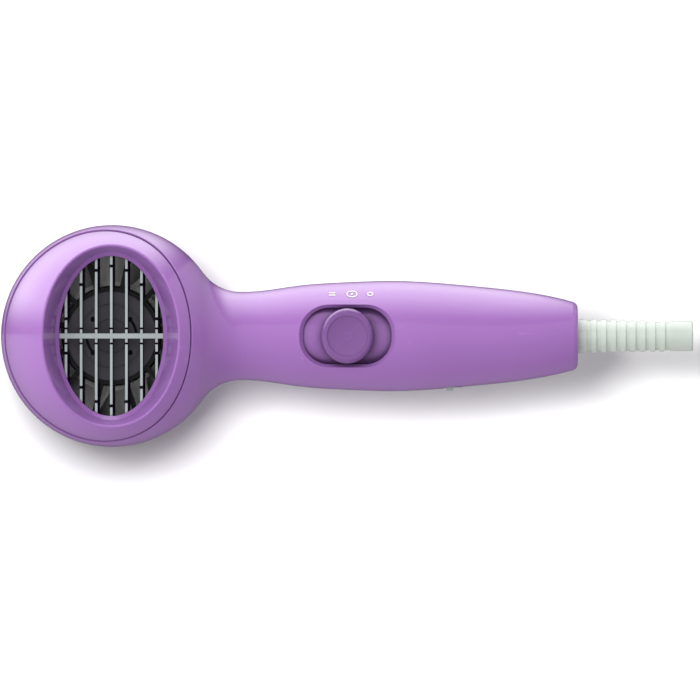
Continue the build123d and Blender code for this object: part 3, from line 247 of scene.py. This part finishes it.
# ---------------------------------------------------------------- materials
# Scales are in noise cells per metre, and bump heights and reaches in metres.
PURPLE = (0.43, 0.19, 0.59)
# The knob's darker purple is painted shade for its place down in the switch recess.
PURPLE_KNOB_SHADED = (0.235, 0.096, 0.335)
PURPLE_ROUGHNESS = (0.21, 0.25, 0.29)  # lowest, middle and highest
PURPLE_COAT = 0.60
PURPLE_COAT_ROUGHNESS = 0.06
PURPLE_MOTTLE = (60.0, 0.97, 1.03)  # scale, darkest and lightest share
PURPLE_GLOSS_SCALE = 140.0
PURPLE_BUMP = (1400.0, 0.03, 0.0002)  # scale, strength and height
PLAIN_MOTTLE = (180.0, 0.92, 1.06)
PLAIN_GLOSS_SCALE = 300.0
PLAIN_GLOSS_SPREAD = (0.8, 1.2)
PLAIN_BUMP = (900.0, 0.12, 0.0003)
GLOSS_DETAIL = 5.0
WEAR_EDGES = (0.53, 0.60)  # pointiness where wear begins and where it is full
WEAR_PALER = 1.25
WEAR_PATCH_SCALE = 220.0
# Painted shade: an occlusion node darkens the purple and dulls its coat in the funnel and the switch recess.
HOLLOW_OPENNESS = (0.45, 1.0)  # openness where the shade is full and where it ends
HOLLOW_SAMPLES = 8
FUNNEL_REACH = 0.022
FUNNEL_SHADE = 0.32
RECESS_REACH = 0.014
RECESS_SHADE = 0.25


def new_material(name, colour, roughness, **sockets):
    """A Principled material. Sockets are set directly on the shader."""
    material = bpy.data.materials.new(name)
    material.use_nodes = True
    shader = material.node_tree.nodes["Principled BSDF"]
    shader.inputs["Base Color"].default_value = (*colour, 1.0)
    shader.inputs["Roughness"].default_value = roughness
    for label, value in sockets.items():
        shader.inputs[label.replace("_", " ")].default_value = value
    return material


def noise(material, scale, detail=3.0):
    """Noise fixed to the object, from 0 to 1."""
    tree = material.node_tree
    place = tree.nodes.new("ShaderNodeTexCoord")
    texture = tree.nodes.new("ShaderNodeTexNoise")
    texture.inputs["Scale"].default_value = scale
    texture.inputs["Detail"].default_value = detail
    tree.links.new(place.outputs["Object"], texture.inputs["Vector"])
    return texture.outputs["Fac"]


def vary_colour(material, scale, darker, lighter):
    """Mottles the base colour between two multiples of itself."""
    tree = material.node_tree
    shader = tree.nodes["Principled BSDF"]
    base = shader.inputs["Base Color"].default_value[:3]
    mix = tree.nodes.new("ShaderNodeMix")
    mix.data_type = "RGBA"
    mix.inputs["A"].default_value = (*[c * darker for c in base], 1.0)
    mix.inputs["B"].default_value = (*[min(1.0, c * lighter) for c in base], 1.0)
    tree.links.new(noise(material, scale), mix.inputs["Factor"])
    tree.links.new(mix.outputs["Result"], shader.inputs["Base Color"])


def vary_roughness(material, scale, low, high):
    """Lets the roughness wander between two values."""
    tree = material.node_tree
    ramp = tree.nodes.new("ShaderNodeMapRange")
    ramp.inputs["To Min"].default_value = low
    ramp.inputs["To Max"].default_value = high
    tree.links.new(noise(material, scale, GLOSS_DETAIL), ramp.inputs["Value"])
    tree.links.new(ramp.outputs["Result"], tree.nodes["Principled BSDF"].inputs["Roughness"])


def add_bump(material, scale, strength, distance):
    """A fine moulded grain."""
    tree = material.node_tree
    bump = tree.nodes.new("ShaderNodeBump")
    bump.inputs["Strength"].default_value = strength
    bump.inputs["Distance"].default_value = distance
    tree.links.new(noise(material, scale), bump.inputs["Height"])
    tree.links.new(bump.outputs["Normal"], tree.nodes["Principled BSDF"].inputs["Normal"])


def wear_edges(material):
    """Rubs the colour a little paler along the outer edges, in patches."""
    tree = material.node_tree
    shader = tree.nodes["Principled BSDF"]
    shape = tree.nodes.new("ShaderNodeNewGeometry")
    edge = tree.nodes.new("ShaderNodeMapRange")
    edge.inputs["From Min"].default_value, edge.inputs["From Max"].default_value = WEAR_EDGES
    tree.links.new(shape.outputs["Pointiness"], edge.inputs["Value"])
    patch = tree.nodes.new("ShaderNodeMath")
    patch.operation = "MULTIPLY"
    tree.links.new(edge.outputs["Result"], patch.inputs[0])
    tree.links.new(noise(material, WEAR_PATCH_SCALE), patch.inputs[1])
    mix = tree.nodes.new("ShaderNodeMix")
    mix.data_type = "RGBA"
    base = shader.inputs["Base Color"]
    mix.inputs["B"].default_value = (*[min(1.0, c * WEAR_PALER) for c in base.default_value[:3]], 1.0)
    tree.links.new(base.links[0].from_socket, mix.inputs["A"])
    tree.links.new(patch.outputs["Value"], mix.inputs["Factor"])
    tree.links.new(mix.outputs["Result"], base)


def purple(name, colour):
    """Glossy moulded plastic with a clear coat."""
    low, middle, high = PURPLE_ROUGHNESS
    material = new_material(name, colour, middle, Coat_Weight=PURPLE_COAT,
                            Coat_Roughness=PURPLE_COAT_ROUGHNESS)
    vary_colour(material, *PURPLE_MOTTLE)
    wear_edges(material)
    vary_roughness(material, PURPLE_GLOSS_SCALE, low, high)
    add_bump(material, *PURPLE_BUMP)
    return material


def paint_shade_in_hollows(material, reach, shade):
    """Painted shade: darkens the colour, and dulls the coat as a painted loss of reflection, where walls
    stand closer than the reach.
    """
    tree = material.node_tree
    shader = tree.nodes["Principled BSDF"]
    base = shader.inputs["Base Color"]
    occlusion = tree.nodes.new("ShaderNodeAmbientOcclusion")
    occlusion.samples = HOLLOW_SAMPLES
    occlusion.inputs["Distance"].default_value = reach
    openness = tree.nodes.new("ShaderNodeMapRange")
    openness.inputs["From Min"].default_value, openness.inputs["From Max"].default_value = HOLLOW_OPENNESS
    tree.links.new(occlusion.outputs["AO"], openness.inputs["Value"])
    mix = tree.nodes.new("ShaderNodeMix")
    mix.data_type = "RGBA"
    mix.inputs["A"].default_value = (*[c * shade for c in base.default_value[:3]], 1.0)
    tree.links.new(base.links[0].from_socket, mix.inputs["B"])
    tree.links.new(openness.outputs["Result"], mix.inputs["Factor"])
    tree.links.new(mix.outputs["Result"], base)
    coat = tree.nodes.new("ShaderNodeMath")
    coat.operation = "MULTIPLY"
    coat.inputs[1].default_value = shader.inputs["Coat Weight"].default_value
    tree.links.new(openness.outputs["Result"], coat.inputs[0])
    tree.links.new(coat.outputs["Value"], shader.inputs["Coat Weight"])


def purple_housing():
    """The housing's purple, with painted shade darkening it in the switch recess."""
    material = purple("purple_housing", PURPLE)
    paint_shade_in_hollows(material, RECESS_REACH, RECESS_SHADE)
    return material


def purple_cap():
    """The cap's purple, with painted shade darkening it down the funnel."""
    material = purple("purple_cap", PURPLE)
    paint_shade_in_hollows(material, FUNNEL_REACH, FUNNEL_SHADE)
    return material


def plain(name, colour, roughness, **sockets):
    """Any other finish: mottled, a little worn, with a fine grain."""
    material = new_material(name, colour, roughness, **sockets)
    vary_colour(material, *PLAIN_MOTTLE)
    wear_edges(material)
    smoother, rougher = [min(1.0, roughness * share) for share in PLAIN_GLOSS_SPREAD]
    vary_roughness(material, PLAIN_GLOSS_SCALE, smoother, rougher)
    add_bump(material, *PLAIN_BUMP)
    return material


FINISHES = {
    "purple_gloss": purple("purple_gloss", PURPLE),
    # mint_plastic is darker than the cord's mint, partly as painted shade for the grille down in the intake.
    "mint_plastic": plain("mint_plastic", (0.42, 0.47, 0.46), 0.4),
    "mint_rubber": plain("mint_rubber", (0.70, 0.77, 0.70), 0.35, Coat_Weight=0.3, Coat_Roughness=0.2),
    # plum_plastic is near black: the louvre behind the ribs is a dark sheet where the ribs' shadows fall, a
    # painted shadow.
    "plum_plastic": plain("plum_plastic", (0.004, 0.001, 0.008), 0.6, Specular_IOR_Level=0.1),
    "black_plastic": plain("black_plastic", (0.008, 0.008, 0.009), 0.5),
    "fan_grey": plain("fan_grey", (0.80, 0.80, 0.81), 0.3),
    "hub_grey": plain("hub_grey", (0.090, 0.084, 0.099), 0.6),
    "outlet_black": plain("outlet_black", (0.012, 0.012, 0.013), 0.45),
    "zinc_steel": plain("zinc_steel", (0.55, 0.55, 0.56), 0.35, Metallic=1.0),
    "lamination": plain("lamination", (0.3, 0.3, 0.3), 0.5, Metallic=1.0),
    "magnet": plain("magnet", (0.05, 0.05, 0.055), 0.6),
    "bronze": plain("bronze", (0.6, 0.38, 0.18), 0.4, Metallic=1.0),
    "copper": plain("copper", (0.7, 0.32, 0.16), 0.35, Metallic=1.0),
    "carbon": plain("carbon", (0.03, 0.03, 0.03), 0.7),
    "mica": plain("mica", (0.5, 0.44, 0.34), 0.4),
    "nichrome": plain("nichrome", (0.32, 0.30, 0.28), 0.45, Metallic=1.0),
    "board_green": plain("board_green", (0.02, 0.12, 0.05), 0.35),
    "capacitor_blue": plain("capacitor_blue", (0.02, 0.06, 0.3), 0.3),
    "white_ink": plain("white_ink", (0.90, 0.86, 0.92), 0.5),
    "lead_jacket": plain("lead_jacket", (0.6, 0.58, 0.52), 0.5),
}
# The knob's purple is darkened as painted shade for its place down in the switch recess.
KNOB_SHADED_FINISH = purple("purple_knob_painted_shade", PURPLE_KNOB_SHADED)
NODE_FINISHES = {
    "rear_housing": purple_housing(),
    "intake_cap": purple_cap(),
    "slide_knob": KNOB_SHADED_FINISH,
    "knob_inset": KNOB_SHADED_FINISH,
}


def dress_nodes():
    """Gives each CAD node its own finish or that of its material slot."""
    for entry in frame["record"]["subparts"]:
        finish = NODE_FINISHES.get(entry["node"], FINISHES[entry["material_slot"]])
        node = NODES[entry["node"]]
        node.data.materials.clear()
        node.data.materials.append(finish)


dress_nodes()
add_world()
add_lamps(add_floor())
add_card("band", band_place, BAND_FADE, BAND_STRENGTH)
bpy.context.scene.view_settings.view_transform = "Standard"
